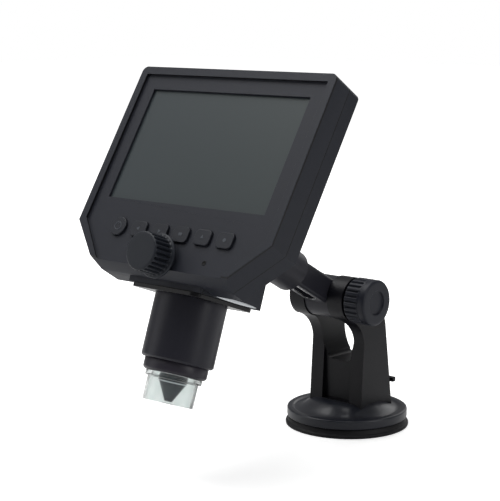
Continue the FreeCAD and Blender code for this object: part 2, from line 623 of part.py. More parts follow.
def leg_side(half_w):
    """The side of the legs, drawn in arcs and pushed half_w each way."""
    def at(y, z):
        return Vector(-half_w, y, z)

    front_top = at(FORK_FRONT_TOP, FORK_BEND_FRONT)
    back_top = at(FORK_BACK_TOP, FORK_BEND_BACK)
    front_foot = at(FORK_FRONT_FOOT, FORK_FOOT_Z)
    back_foot = at(FORK_BACK_FOOT, FORK_FOOT_Z)
    chest = at(*on_ear(EAR_FRONT_ANGLE))
    nape = at(*on_ear(EAR_BACK_ANGLE))
    edges = [Part.makeLine(front_foot, front_top),
             Part.Arc(front_top, at(*FRONT_FILLET), chest).toShape(),
             Part.Arc(chest, at(*on_ear(EAR_FRONT_MIDDLE)), nape).toShape(),
             Part.Arc(nape, at(*BACK_SWEEP), back_top).toShape(),
             Part.makeLine(back_top, back_foot),
             Part.makeLine(back_foot, front_foot)]
    return Part.Face(Part.Wire(edges)).extrude(Vector(2 * half_w, 0, 0))


gap = FORK_GAP / 2
fork = leg_side(FORK_W / 2)
opening = box(-gap, gap, -60, 60, GAP_FLOOR, 120)
opening = opening.makeFillet(GAP_CORNER_R, [e for e in edges_along(opening, Y) if e.CenterOfMass.z < 50])
fork = fork.cut(opening)
front_recess = box(-WEB_HALF_W, WEB_HALF_W, -30, WEB_FRONT, FORK_FOOT_Z + 6, GAP_FLOOR + 3)
fork = fork.cut(front_recess)
cam_front = -CAM_R - AIR
cam_half = LEVER_W / 2 + AIR
fork = fork.cut(box(-cam_half, cam_half, cam_front, 40, FORK_FOOT_Z - 1, LEVER_PIN_Z + CAM_R + AIR))
fork = fork.cut(rod(BOLT_R + RUN, -30, PIVOT_Y, PIVOT_Z, X, 60))
pin_left = -FORK_W / 2
pin_right = FORK_W / 2 - 4
fork = fork.cut(rod(LEVER_PIN_R + RUN, pin_left - 1, 0, LEVER_PIN_Z, X, pin_right - pin_left + 1))
keep("fork_upright", fork.removeSplitter())

# Base cover, suction cup and its pull stem
cover = turned([(HUB_R, CUP_H), (BASE_R, CUP_H), (BASE_R, BASE_H), (BASE_R - 3.2, BASE_H),
                (BASE_R - 4.2, BASE_H - 0.8), (DOME_R, DOME_TOP - 4.5), (16, DOME_TOP), (STEM_R + RUN, DOME_TOP),
                (STEM_R + RUN, DOME_TOP - 3), (HUB_R, DOME_TOP - 3)])
cover = cover.cut(leg_side(FORK_W / 2))
keep("base_cover", cover)
pocket_floor = CUP_H - 3.3
cup = turned([(0, 0.6), (CUP_R - 6, 0), (CUP_R, 0), (CUP_R, 1.6), (CUP_R - 2.0, CUP_H), (STEM_FOOT_R + AIR, CUP_H),
              (STEM_FOOT_R + AIR, pocket_floor), (0, pocket_floor)])
keep("suction_cup", cup)
stem_low = pocket_floor + AIR
stem_top = LEVER_PIN_Z - CAM_R - AIR - STEM_RISE
stem = rod(STEM_R, 0, 0, stem_low, Z, stem_top - stem_low).fuse(rod(STEM_FOOT_R, 0, 0, stem_low, Z, STEM_FOOT_T))
keep("pull_stem", stem.removeSplitter())
keep("lever_pin", rod(LEVER_PIN_R, pin_left + 0.4, 0, LEVER_PIN_Z, X, pin_right - pin_left - 0.6))
cam = rod(CAM_R, -LEVER_W / 2, 0, 0, X, LEVER_W)
cam = cam.fuse(box(-LEVER_W / 2, LEVER_W / 2, 0, PADDLE_FAR - 1, 0.4, 0.4 + PADDLE_T))
paddle = box(-PADDLE_HALF_W, PADDLE_HALF_W, PADDLE_NEAR, PADDLE_FAR, 0.4, 0.4 + PADDLE_T)
paddle = paddle.makeFillet(1.2, [e for e in edges_along(paddle, Z) if e.CenterOfMass.y > PADDLE_NEAR + 1])
lever = cam.fuse(paddle).cut(rod(LEVER_PIN_R + RUN, -5, 0, 0, X, 10))
keep("cam_lever", lever.removeSplitter(), Placement(Vector(0, 0, LEVER_PIN_Z), Rotation()))

total = 0
for name in sorted(nodes):
    shape = nodes[name]
    shape.exportStep(f"parts/{name}.step")
    total += len(shape.Solids)
    print(name, "solids", len(shape.Solids), "valid", shape.isValid(), "volume", round(shape.Volume, 1))
print("nodes", len(nodes), "solids", total)
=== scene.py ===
import json
import math

import bmesh
import bpy
from mathutils import Matrix, Vector


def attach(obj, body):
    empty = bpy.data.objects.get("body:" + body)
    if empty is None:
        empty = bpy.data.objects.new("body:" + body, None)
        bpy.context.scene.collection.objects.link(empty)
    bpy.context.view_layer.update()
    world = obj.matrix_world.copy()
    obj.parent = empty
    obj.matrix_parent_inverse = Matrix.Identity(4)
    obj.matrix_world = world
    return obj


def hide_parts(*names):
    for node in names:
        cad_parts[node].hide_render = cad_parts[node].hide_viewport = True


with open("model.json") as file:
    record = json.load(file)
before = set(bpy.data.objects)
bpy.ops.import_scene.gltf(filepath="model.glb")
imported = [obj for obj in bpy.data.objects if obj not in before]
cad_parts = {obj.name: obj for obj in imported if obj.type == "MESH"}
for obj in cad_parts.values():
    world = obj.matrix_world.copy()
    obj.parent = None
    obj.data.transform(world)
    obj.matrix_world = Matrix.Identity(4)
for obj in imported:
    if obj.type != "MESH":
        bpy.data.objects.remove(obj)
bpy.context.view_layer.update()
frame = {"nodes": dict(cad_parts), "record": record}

# Everything below is in metres, in the frame of the loaded model: X to the device's right, Y away from the
# user, Z up, and the origin on the table under the suction cup.
MM = 0.001


# Camera and light
# The camera stands where the photograph was taken from. The light is a plain soft studio: a pale floor, a
# white surround, one large panel above, one at each side and one behind.
SENSOR_WIDTH = 36.0      # millimetres of film that the focal length is given for
FOCAL_PIXELS = 1476.09
FRAME_PIXELS = 500
CAMERA_AT = Vector((462.1, -611.8, 220.7)) * MM
CAMERA_AZIMUTH = math.radians(40.94)
CAMERA_PITCH = math.radians(9.47)
CAMERA_REACH = (0.01, 20.0)
FLOOR_HALF = 4.0         # half the floor's width, in metres
FLOOR_WHITE = 0.84
FLOOR_GLOW = 0.55        # what the floor near the stand gives off itself, so that only a soft shadow shows
FLOOR_GLOSS = 0.1        # the share of that glow that shows in reflections
FLOOR_CLEAR = 0.12       # the floor turns plain white from this far out
FLOOR_FADE = 4.0         # how fast it does so, as brightness per metre
SURROUND = 0.11          # how bright the white surround is as a light
SURROUND_GLOSS = 0.12    # how much brighter it is in a reflection


def make_camera():
    data = bpy.data.cameras.new("camera")
    data.sensor_width = SENSOR_WIDTH
    data.sensor_fit = "HORIZONTAL"
    data.lens = FOCAL_PIXELS * data.sensor_width / FRAME_PIXELS
    data.clip_start, data.clip_end = CAMERA_REACH
    camera = bpy.data.objects.new("camera", data)
    bpy.context.scene.collection.objects.link(camera)
    across = math.cos(CAMERA_PITCH)
    sine, cosine = math.sin(CAMERA_AZIMUTH), math.cos(CAMERA_AZIMUTH)
    back = Vector((sine * across, -cosine * across, math.sin(CAMERA_PITCH)))
    right = Vector((cosine, sine, 0))
    turn = Matrix((right, back.cross(right), back)).transposed()
    camera.matrix_world = Matrix.Translation(CAMERA_AT) @ turn.to_4x4()
    bpy.context.scene.camera = camera


def make_light(name, place, aim, width, height, power):
    """A lit panel at place that faces aim, in metres and watts."""
    data = bpy.data.lights.new(name, "AREA")
    data.shape = "RECTANGLE"
    data.size = width
    data.size_y = height
    data.energy = power
    light = bpy.data.objects.new(name, data)
    bpy.context.scene.collection.objects.link(light)
    light.location = place
    light.rotation_euler = (Vector(aim) - Vector(place)).to_track_quat("-Z", "Y").to_euler()


def new_node(tree, kind, inputs, output=0, **settings):
    """Adds a node, with its settings and then its inputs, and gives back one of its outputs as a Wire."""
    made = tree.nodes.new(kind)
    for key, value in settings.items():
        setattr(made, key, value)
    for key, value in inputs.items():
        if isinstance(value, Wire):
            tree.links.new(value.socket, made.inputs[key])
        else:
            made.inputs[key].default_value = value
    return Wire(tree, made.outputs[output])


class Wire:
    """A value inside a material or the world, with plain operators for its maths."""

    def __init__(self, tree, socket):
        self.tree = tree
        self.socket = socket

    def node(self, kind, inputs, output=0, **settings):
        return new_node(self.tree, kind, inputs, output, **settings)

    def maths(self, operation, first, second):
        return self.node("ShaderNodeMath", {0: first, 1: second}, operation=operation)

    def __add__(self, other):
        return self.maths("ADD", self, other)

    def __radd__(self, other):
        return self.maths("ADD", other, self)

    def __sub__(self, other):
        return self.maths("SUBTRACT", self, other)

    def __rsub__(self, other):
        return self.maths("SUBTRACT", other, self)

    def __mul__(self, other):
        return self.maths("MULTIPLY", self, other)

    def __rmul__(self, other):
        return self.maths("MULTIPLY", other, self)

    def above(self, edge):
        return self.maths("GREATER_THAN", self, edge)

    def clamped(self, low, high):
        return self.maths("MINIMUM", self.maths("MAXIMUM", self, low), high)


def make_world():
    world = bpy.data.worlds.new("surround")
    world.use_nodes = True
    bpy.context.scene.world = world
    tree = world.node_tree
    tree.nodes.clear()
    camera_ray = new_node(tree, "ShaderNodeLightPath", {}, "Is Camera Ray")
    glossy_ray = new_node(tree, "ShaderNodeLightPath", {}, "Is Glossy Ray")
    through_ray = new_node(tree, "ShaderNodeLightPath", {}, "Is Transmission Ray")
    level = SURROUND + 1.0 * camera_ray + SURROUND_GLOSS * glossy_ray + 1.0 * through_ray
    level = level.clamped(0.0, 1.0)
    colour = camera_ray.node("ShaderNodeCombineColor", {0: level, 1: level, 2: level})
    background = camera_ray.node("ShaderNodeBackground", {"Color": colour, "Strength": 1.0})
    output = tree.nodes.new("ShaderNodeOutputWorld")
    tree.links.new(background.socket, output.inputs["Surface"])


def make_floor():
    bm = bmesh.new()
    bmesh.ops.create_grid(bm, x_segments=1, y_segments=1, size=FLOOR_HALF)
    mesh = bpy.data.meshes.new("floor")
    bm.to_mesh(mesh)
    bm.free()
    floor = bpy.data.objects.new("floor", mesh)
    bpy.context.scene.collection.objects.link(floor)
    paint = bpy.data.materials.new("floor_paper")
    paint.use_nodes = True
    tree = paint.node_tree
    shader = tree.nodes["Principled BSDF"]
    place = new_node(tree, "ShaderNodeTexCoord", {}, "Object")
    far = place.node("ShaderNodeVectorMath", {0: place}, output=1, operation="LENGTH")
    camera_ray = new_node(tree, "ShaderNodeLightPath", {}, "Is Camera Ray")
    glossy_ray = new_node(tree, "ShaderNodeLightPath", {}, "Is Glossy Ray")
    seen = camera_ray + FLOOR_GLOSS * glossy_ray
    glow = (FLOOR_GLOW + (far - FLOOR_CLEAR) * FLOOR_FADE).clamped(FLOOR_GLOW, 1.0) * seen
    colour = place.node("ShaderNodeCombineColor", {0: glow, 1: glow, 2: glow})
    tree.links.new(colour.socket, shader.inputs["Emission Color"])
    shader.inputs["Emission Strength"].default_value = 1.0
    shader.inputs["Base Color"].default_value = (FLOOR_WHITE, FLOOR_WHITE, FLOOR_WHITE, 1)
    shader.inputs["Roughness"].default_value = 0.9
    shader.inputs["Specular IOR Level"].default_value = 0.1
    mesh.materials.append(paint)


make_camera()
make_world()
make_floor()
make_light("top_panel", (-0.25, -0.2, 1.1), (0, -0.05, 0.1), 1.1, 1.1, 13.5)
make_light("left_panel", (-1.0, -0.9, 0.5), (0, -0.05, 0.12), 0.8, 1.0, 2.2)
make_light("right_panel", (1.1, 0.1, 0.6), (0, -0.03, 0.1), 0.5, 1.0, 3.8)
make_light("rear_panel", (-0.2, 1.3, 0.7), (0, -0.03, 0.1), 0.8, 0.8, 2.4)
bpy.context.scene.view_settings.view_transform = "Standard"


# Housing
# Two moulded covers in black ABS meet at a parting line: the front one has a raised rim round a recessed
# panel, the rear one carries the lens block, and four screws hold them together. The plastic has a
# spark-eroded grain, slow changes of gloss and paler worn edges, and near-black bands painted round the case
# at the rim's step and at the parting line are painted shade for the gaps there.
LEAN = math.radians(32.6)    # the screen leans back from upright
TOP_EDGE = Vector((0, -89.1, 190.4)) * MM


def shift(x, y, z):
    """A move in millimetres."""
    return Matrix.Translation(Vector((x, y, z)) * MM)


def swing(degrees, axis):
    return Matrix.Rotation(math.radians(degrees), 4, axis)


def srgb(red, green, blue):
    return tuple((v / 255) ** 2.2 for v in (red, green, blue)) + (1.0,)


def shade(colour, gain, lift=0.0):
    """A darker or paler colour."""
    return tuple(min(1.0, gain * v + lift) for v in colour[:3]) + (1.0,)


def new_material(name):
    material = bpy.data.materials.new(name)
    material.use_nodes = True
    tree = material.node_tree
    shader = tree.nodes["Principled BSDF"]
    place = new_node(tree, "ShaderNodeTexCoord", {}, "Object")
    return material, shader, place


def feed(shader, socket, value):
    """Links a value to one of the shader's sockets."""
    value.tree.links.new(value.socket, shader.inputs[socket])


def noise(place, size, detail=2.0, rough=0.5):
    """Noise whose blotches are about size metres across."""
    scaled = {"Vector": place, "Scale": 1 / size, "Detail": detail, "Roughness": rough}
    return place.node("ShaderNodeTexNoise", scaled)


def tinted(place, amount, dark, light):
    """A colour between dark and light."""
    mixed = {0: amount, 6: dark, 7: light}
    return place.node("ShaderNodeMix", mixed, output=2, data_type="RGBA")


def bumped(place, height, strength, distance):
    return place.node("ShaderNodeBump", {"Height": height, "Strength": strength, "Distance": distance})


def through_case(place):
    """How far a point is behind the front face, in metres."""
    across = {0: place, 1: (0, math.cos(LEAN), -math.sin(LEAN))}
    start = TOP_EDGE.y * math.cos(LEAN) - TOP_EDGE.z * math.sin(LEAN)
    return place.node("ShaderNodeVectorMath", across, output=1, operation="DOT_PRODUCT") - start


CLOUD_SIZE = 22 * MM         # slow changes of tone and gloss
DUST_SIZE = 1.6 * MM         # breaks up the worn edges
PIT_DEPTH = 0.05 * MM
EDGE_START = 0.53            # how sharp an edge has to be before it wears pale
EDGE_GAIN = 6.0
COAT_ROUGHNESS = 0.12
PLASTIC_IOR = 1.47
SEAM_SHADE_BLACK = (0.002, 0.002, 0.002, 1.0)


def moulded(name, colour, roughness=0.5, grain=0.35, grain_size=0.35 * MM, wear=0.5, coat=0.0, shine=0.28,
            gap_shades=()):
    """A moulded plastic with its grain, slow gloss changes, worn edges and near-black bands through the case,
    painted shade for the gaps at its seams.
    """
    material, shader, place = new_material(name)
    cloud = noise(place, CLOUD_SIZE, 3.0)
    pits = noise(place, grain_size, 2.0, 0.6)
    dust = noise(place, DUST_SIZE, 4.0, 0.7)
    edge = place.node("ShaderNodeNewGeometry", {}, "Pointiness")
    worn = ((edge - EDGE_START) * EDGE_GAIN).clamped(0.0, 1.0) * dust * wear
    patches = (0.75 * cloud + 0.25 * pits).clamped(0.0, 1.0)
    base = tinted(place, patches, shade(colour, 0.9), shade(colour, 1.12))
    base = tinted(place, worn, base, shade(colour, 1.9, 0.02))
    # Each band paints near-black shade into a gap: the rim's step and the parting line between the covers.
    for start, end in gap_shades:
        depth = through_case(place)
        gap_shade = depth.above(start * MM) * (1.0 - depth.above(end * MM))
        base = tinted(place, gap_shade, base, SEAM_SHADE_BLACK)
    feed(shader, "Base Color", base)
    feed(shader, "Roughness", (roughness - 0.06 + 0.12 * cloud + 0.05 * (pits - 0.5)).clamped(0.05, 1.0))
    feed(shader, "Normal", bumped(place, pits, grain, PIT_DEPTH))
    shader.inputs["IOR"].default_value = PLASTIC_IOR
    shader.inputs["Specular IOR Level"].default_value = shine
    shader.inputs["Coat Weight"].default_value = coat
    shader.inputs["Coat Roughness"].default_value = COAT_ROUGHNESS
    return material


def metal(name, colour, roughness, brush=0.3):
    """A worked metal with fine tool marks."""
    material, shader, place = new_material(name)
    marks = noise(place, 0.2 * MM, 3.0, 0.7)
    cloud = noise(place, 9 * MM, 2.0)
    feed(shader, "Base Color", tinted(place, cloud, shade(colour, 0.8), colour))
    feed(shader, "Roughness", (roughness + 0.15 * (marks - 0.5)).clamped(0.05, 1.0))
    feed(shader, "Normal", bumped(place, marks, brush, 0.02 * MM))
    shader.inputs["Metallic"].default_value = 1.0
    return material


BODY_OF = {node: body for body, nodes in frame["record"]["behaviour"]["bodies"].items() for node in nodes}


def finish_piece(name, bm, material, node=None, body=None, bevel=0.0, segments=3, angle=32.0):
    """Makes a piece from bm with softened edges, and lets it stand for a node or ride on a body."""
    bmesh.ops.recalc_face_normals(bm, faces=bm.faces)
    mesh = bpy.data.meshes.new(name)
    bm.to_mesh(mesh)
    bm.free()
    piece = bpy.data.objects.new(name, mesh)
    bpy.context.scene.collection.objects.link(piece)
    mesh.materials.append(material)
    mesh.polygons.foreach_set("use_smooth", [True] * len(mesh.polygons))
    if bevel:
        soften = piece.modifiers.new("soften", "BEVEL")
        soften.width = bevel
        soften.segments = segments
        soften.limit_method = "ANGLE"
        soften.angle_limit = math.radians(angle)
        soften.harden_normals = False
        soften.miter_outer = "MITER_ARC"
    normals = piece.modifiers.new("normals", "WEIGHTED_NORMAL")
    normals.keep_sharp = True
    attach(piece, body or BODY_OF[node])
    if node:
        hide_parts(node)


def node_mesh(node):
    """A merged copy of a node's triangles with its flat faces joined up."""
    bm = bmesh.new()
    bm.from_mesh(frame["nodes"][node].data)
    bmesh.ops.remove_doubles(bm, verts=bm.verts, dist=0.002 * MM)
    bmesh.ops.dissolve_limit(bm, angle_limit=math.radians(0.5), verts=bm.verts, edges=bm.edges)
    return bm


def softened_node(node, material, bevel):
    finish_piece(node + "_shell", node_mesh(node), material, node=node, bevel=bevel)


def plain_node(node, material):
    """A node that stays as it is, with a finish of its own."""
    slots = frame["nodes"][node].data.materials
    slots.clear()
    slots.append(material)


def turned_points(bm, profile, turn, steps):
    """Spins a closed profile of (radius, height) points in mm about the Z of turn, a matrix."""
    open_bore = min(radius for radius, height in profile) > 0
    rim = [bm.verts.new((radius * MM, 0, height * MM)) for radius, height in profile]
    edges = [bm.edges.new((a, b)) for a, b in zip(rim, rim[1:])]
    if open_bore:
        edges.append(bm.edges.new((rim[-1], rim[0])))
    bmesh.ops.spin(bm, geom=rim + edges, cent=(0, 0, 0), axis=(0, 0, 1), dvec=(0, 0, 0),
                   angle=2 * math.pi, steps=steps, use_merge=True, use_duplicate=False)
    bmesh.ops.remove_doubles(bm, verts=bm.verts, dist=0.001 * MM)
    bmesh.ops.transform(bm, matrix=turn, verts=bm.verts)


def turned_piece(name, profile, turn, material, steps=96, **options):
    bm = bmesh.new()
    turned_points(bm, profile, turn, steps)
    finish_piece(name, bm, material, **options)


# The device's own frame: origin on the top front edge, Y through the case, Z up the screen.
DEVICE = Matrix.Translation(TOP_EDGE) @ Matrix.Rotation(-LEAN, 4, "X")
# Depths in mm behind the front face of the bands painted as shade in the rim's step and the parting gap.
RIM_GAP_SHADE = (0.35, 1.05)
PARTING_GAP_SHADE = (11.3, 11.7)
CASE = moulded("case_plastic", srgb(36, 38, 45), roughness=0.5, gap_shades=(RIM_GAP_SHADE, PARTING_GAP_SHADE))
STEEL = metal("bright_steel", (0.62, 0.63, 0.65, 1.0), 0.25)
BLACK_STEEL = metal("black_screw_steel", (0.05, 0.05, 0.055, 1.0), 0.35)

softened_node("front_cover", CASE, 0.5 * MM)
softened_node("rear_cover", CASE, 0.6 * MM)

SCREW_X = 54.3
SCREW_ROWS = (-6.2, -81.9)
CASE_BACK = 19.5
SCREW_HEAD = [(0, 0.75), (1.0, 0.7), (1.9, 0.5), (2.4, 0.15), (2.5, -0.2), (0, -0.2)]
CROSS_ARM = 1.5
CROSS_WIDTH = 0.45
CROSS_DEPTH = 0.3
CROSS_HEIGHT = 0.63
CROSS_ANGLE = 28


def screw(name, turn, body, finish):
    """A domed screw head whose own Z points out of the surface, with a dark cross on it, painted shade for
    the recessed cross slot.
    """
    bm = bmesh.new()
    turned_points(bm, SCREW_HEAD, turn, 32)
    finish_piece(name, bm, finish, body=body, bevel=0.08 * MM)
    cross = bmesh.new()
    shape = Matrix.Diagonal((CROSS_ARM * 2 * MM, CROSS_WIDTH * MM, CROSS_DEPTH * MM, 1.0))
    for angle in (CROSS_ANGLE, CROSS_ANGLE + 90):
        made = bmesh.ops.create_cube(cross, size=1.0)
        matrix = turn @ swing(angle, "Z") @ shift(0, 0, CROSS_HEIGHT) @ shape
        bmesh.ops.transform(cross, matrix=matrix, verts=made["verts"])
    finish_piece(name + "_cross", cross, RECESS_SHADE, body=body, bevel=0.04 * MM)


# A near-black plastic painted as shade in small hollows: the screw crosses, the microphone hole and the
# bolt's hexagon.
RECESS_SHADE = moulded("recess_shadow", srgb(10, 10, 12), roughness=0.7, grain=0.2, wear=0.0)
for row, height in enumerate(SCREW_ROWS):
    for column, side in enumerate((-1, 1)):
        place = DEVICE @ shift(side * SCREW_X, CASE_BACK - 0.5, height) @ swing(-90, "X")
        screw(f"cover_screw_{row}{column}", place, "device", BLACK_STEEL)


# Display
# A clear sheet lies in the window over a 4.3 inch panel. Unlit, the panel shows as an even grey with a green
# cast, and a painted reflection makes it a little paler toward the top left.
SCREEN_DARK = srgb(40, 49, 50)
# The paler colour is a painted reflection across the screen.
SCREEN_REFLECTION_PALE = srgb(50, 57, 60)
SCREEN_REFLECTION_FADE = 8.0    # how fast one turns into the other across the screen, per metre


def screen_glass():
    """The unlit display behind its sheet, with a fine pixel grid and a painted reflection that fades in
    across it.
    """
    material, shader, place = new_material("screen")
    across = place.node("ShaderNodeSeparateXYZ", {0: place})
    reflection_fade = (0.5 - across * SCREEN_REFLECTION_FADE).clamped(0.0, 1.0)
    feed(shader, "Base Color", tinted(place, reflection_fade, SCREEN_DARK, SCREEN_REFLECTION_PALE))
    feed(shader, "Roughness", 0.42 + 0.03 * noise(place, 30 * MM, 1.0))
    feed(shader, "Normal", bumped(place, noise(place, 0.25 * MM), 0.1, 0.02 * MM))
    shader.inputs["Specular IOR Level"].default_value = 0.35
    return material


def circuit(name, colour):
    """A circuit board: solder mask with paler tracks running both ways."""
    material, shader, place = new_material(name)
    waves = {"Vector": place, "Scale": 120.0, "Distortion": 3.0, "Detail": 2.0}
    tracks = place.node("ShaderNodeTexWave", waves, output=1)
    feed(shader, "Base Color", tinted(place, tracks.above(0.62), colour, shade(colour, 1.8, 0.01)))
    feed(shader, "Normal", bumped(place, tracks, 0.3, 0.03 * MM))
    shader.inputs["Roughness"].default_value = 0.35
    return material


BOARD = circuit("circuit_board", srgb(24, 62, 48))
LCD = moulded("panel_back", srgb(60, 64, 66), roughness=0.4)
softened_node("display_window", screen_glass(), 0.25 * MM)
plain_node("lcd_panel", LCD)


# Keys
# One round power key and five square keys, moulded in a slightly smoother black, stand just proud of the
# panel. Each carries a small plain mark, raised a tenth of a millimetre.
KEY_X = (-33.5, -20.1, -6.7, 6.7, 20.1, 33.5)
KEY_ROW = -85.4
KEY_FACE = 0.2
MARK_T = 0.1
MARK_R = 1.15
POWER_RING = [(1.7, 0), (1.7, MARK_T), (2.1, MARK_T), (2.1, 0)]
KEY = moulded("key_plastic", srgb(36, 38, 44), roughness=0.42, grain=0.2)
MARK = moulded("key_mark_ink", srgb(68, 72, 78), roughness=0.5, grain=0.1, wear=0.0)
softened_node("power_button", KEY, 0.35 * MM)


def on_key(x, up=0.0):
    """The frame of a mark on a key's face, with its Z out of the face."""
    return DEVICE @ shift(x, KEY_FACE, KEY_ROW + up) @ swing(90, "X")


def flat_mark(bm, turn, radius, corners, angle=0.0, wide=1.0, tall=1.0):
    """A thin raised plate with so many corners, turned by angle and then stretched."""
    made = bmesh.ops.create_circle(bm, cap_ends=True, segments=corners, radius=radius * MM)
    top = bmesh.ops.extrude_face_region(bm, geom=list({f for v in made["verts"] for f in v.link_faces}))
    moved = [v for v in top["geom"] if isinstance(v, bmesh.types.BMVert)]
    bmesh.ops.translate(bm, verts=moved, vec=(0, 0, MARK_T * MM))
    shape = Matrix.Diagonal((wide, tall, 1.0, 1.0)) @ swing(angle, "Z")
    bmesh.ops.transform(bm, matrix=turn @ shape, verts=made["verts"] + moved)


bm = bmesh.new()
turned_points(bm, POWER_RING, on_key(KEY_X[0]), 40)
flat_mark(bm, on_key(KEY_X[0], up=1.3), 0.28, 4, 45, 1.0, 4.0)
finish_piece("power_mark", bm, MARK, body="power_key")
# Each square key's mark: corners, angle, width and height.
KEY_MARKS = ((3, 90, 1.0, 1.0), (3, -90, 1.0, 1.0), (4, 45, 1.3, 0.9), (3, 0, 1.0, 1.0), (24, 0, 0.8, 0.8))
for i, (corners, angle, wide, tall) in enumerate(KEY_MARKS, start=1):
    softened_node(f"key_button_{i}", KEY, 0.35 * MM)
    bm = bmesh.new()
    flat_mark(bm, on_key(KEY_X[i]), MARK_R, corners, angle, wide, tall)
    finish_piece(f"key_mark_{i}", bm, MARK, body=f"key_{i}")


# Microphone hole
# A shallow dished hole to the right of the focus knob, painted near-black as the shade inside the hole.
MIC_DISH = [(0, 0.02), (0.75, 0.02), (0.85, 0.12), (1.15, 0.12), (1.25, 0.0), (1.25, -0.3), (0, -0.3)]
bm = bmesh.new()
turned_points(bm, MIC_DISH, DEVICE @ shift(26.0, 1.5, -97.0) @ swing(90, "X"), 32)
finish_piece("microphone_ring", bm, RECESS_SHADE, body="device")


# Knobs
# The focus knob and the clamp knob are turned mouldings with ribs round the rim, so that damp fingers can
# grip them. Each is drawn as rings from the foot up: height, radius and how deep the grooves are there.
POINTS_PER_RIB = 8
RIB_FLANK = 1.6      # how steeply a rib's flanks fall into the groove


def ribbed_piece(name, node, rings, ribs, depth, rib_share, turn, material):
    bm = bmesh.new()
    made = bmesh.ops.create_circle(bm, cap_ends=True, segments=ribs * POINTS_PER_RIB, radius=MM)
    ring = made["verts"]
    edges = [e for e in bm.edges if len(e.link_faces) < 2]
    for level, (height, radius, groove) in enumerate(rings):
        if level:
            grown = bmesh.ops.extrude_edge_only(bm, edges=edges)["geom"]
            ring = [v for v in grown if isinstance(v, bmesh.types.BMVert)]
            edges = [e for e in grown if isinstance(e, bmesh.types.BMEdge) and set(e.verts) <= set(ring)]
        for v in ring:
            angle = math.atan2(v.co.y, v.co.x)
            phase = (angle / (2 * math.pi) * ribs) % 1.0
            off = max(0.0, abs(phase - 0.5) * 2 - rib_share) / (1 - rib_share)
            reach = (radius - depth * groove * min(1.0, off * RIB_FLANK)) * MM
            v.co = (reach * math.cos(angle), reach * math.sin(angle), height * MM)
    bmesh.ops.contextual_create(bm, geom=edges)
    bmesh.ops.transform(bm, matrix=turn, verts=bm.verts)
    finish_piece(name, bm, material, node=node)


# The column's frame: origin on the flange plate, Z up the optical axis. The pivot is where the arm turns in
# the fork.
COLUMN = DEVICE @ shift(0, 29.8, -103.6) @ swing(12.8, "X")
PIVOT = shift(0, -16.6, 71.5)
KNOB = moulded("knob_plastic", srgb(35, 38, 44), roughness=0.42, grain=0.2)
KNOB_FOOT = COLUMN @ shift(0, -28.3, 12.6) @ swing(90, "X")
FOCUS_RINGS = ((0, 2.3, 0), (0, 9.9, 0), (0.2, 10.3, 0), (0.5, 10.48, 0), (1.1, 10.48, 0),
               (1.4, 10.3, 0), (1.6, 9.9, 0), (1.7, 9.2, 0.4), (2.3, 9.2, 1), (10.2, 9.2, 1),
               (10.8, 9.2, 0.75), (11.3, 9.1, 0.3), (11.6, 8.95, 0.05), (11.85, 8.6, 0),
               (11.95, 8.2, 0), (12.0, 7.6, 0), (12.0, 4.0, 0), (12.0, 1.0, 0))
ribbed_piece("focus_knob_rim", "focus_knob", FOCUS_RINGS, 24, 1.25, 0.42, KNOB_FOOT, KNOB)
plain_node("focus_shaft", STEEL)

CLAMP = moulded("clamp_plastic", srgb(32, 34, 42), roughness=0.45, grain=0.3)
CLAMP_FOOT = PIVOT @ shift(18.1, 0, 0) @ swing(90, "Y")
CLAMP_RINGS = ((0, 3.1, 0), (0, 11.2, 0), (0.3, 11.6, 0.6), (0.7, 11.78, 1), (7.4, 11.78, 1),
               (8.1, 11.78, 0.4), (8.5, 11.78, 0), (8.8, 11.6, 0), (9.0, 11.55, 0), (9.2, 11.6, 0),
               (9.5, 11.78, 0), (11.6, 11.78, 0), (12.1, 11.65, 0), (12.5, 11.3, 0), (12.68, 10.7, 0),
               (12.7, 10.0, 0), (12.7, 6.5, 0), (12.6, 6.2, 0), (12.4, 6.1, 0), (11.8, 6.05, 0),
               (11.7, 5.95, 0), (11.7, 5.4, 0), (11.7, 1.0, 0))
ribbed_piece("clamp_knob_rim", "clamp_knob", CLAMP_RINGS, 26, 0.95, 0.5, CLAMP_FOOT, CLAMP)


# Sockets and dimmer wheel
# The charging and card sockets are stamped shells in the left side. The dimmer wheel turns on a post beside
# them.
SOCKET_METAL = metal("socket_steel", (0.55, 0.55, 0.57, 1.0), 0.35)
plain_node("usb_socket", SOCKET_METAL)
plain_node("card_socket", SOCKET_METAL)
plain_node("dimmer_post", STEEL)
softened_node("dimmer_wheel", KNOB, 0.15 * MM)


# Works inside the housing
# Boards in green solder mask, a wrapped battery, and the acetal carriage that the pinion drives along its
# guide.
INNER = moulded("inner_plastic", srgb(70, 72, 76), roughness=0.6)
BATTERY = moulded("battery_wrap", srgb(150, 158, 168), roughness=0.35, grain=0.1)
for name in ("main_board", "key_board", "sensor_board"):
    plain_node(name, BOARD)
plain_node("battery_pack", BATTERY)
plain_node("lens_carriage", INNER)
plain_node("carriage_guide", INNER)


# Optical column
# A square flange plate holds the barrel, a turned tube with a stepped end ring. Below it the clear cap rings
# a dark cone, with the lamps on a white board above them.
BARREL = moulded("barrel_plastic", srgb(38, 38, 45), roughness=0.36, grain=0.15)
# The end ring is the barrel's plastic painted paler: painted light on the ring.
END_RING_LIT = moulded("end_ring_painted_light", srgb(47, 45, 52), roughness=0.36, grain=0.15)
# The flange plate is painted nearly black, darker than the case: painted shade where it sits under the chin.
PLATE_SHADED = moulded("plate_painted_shade", srgb(16, 16, 20), roughness=0.26, grain=0.12)
HOOD = moulded("hood_plastic", srgb(40, 46, 52), roughness=0.3, grain=0.2)
LED_BOARD = circuit("lamp_board", srgb(225, 228, 226))


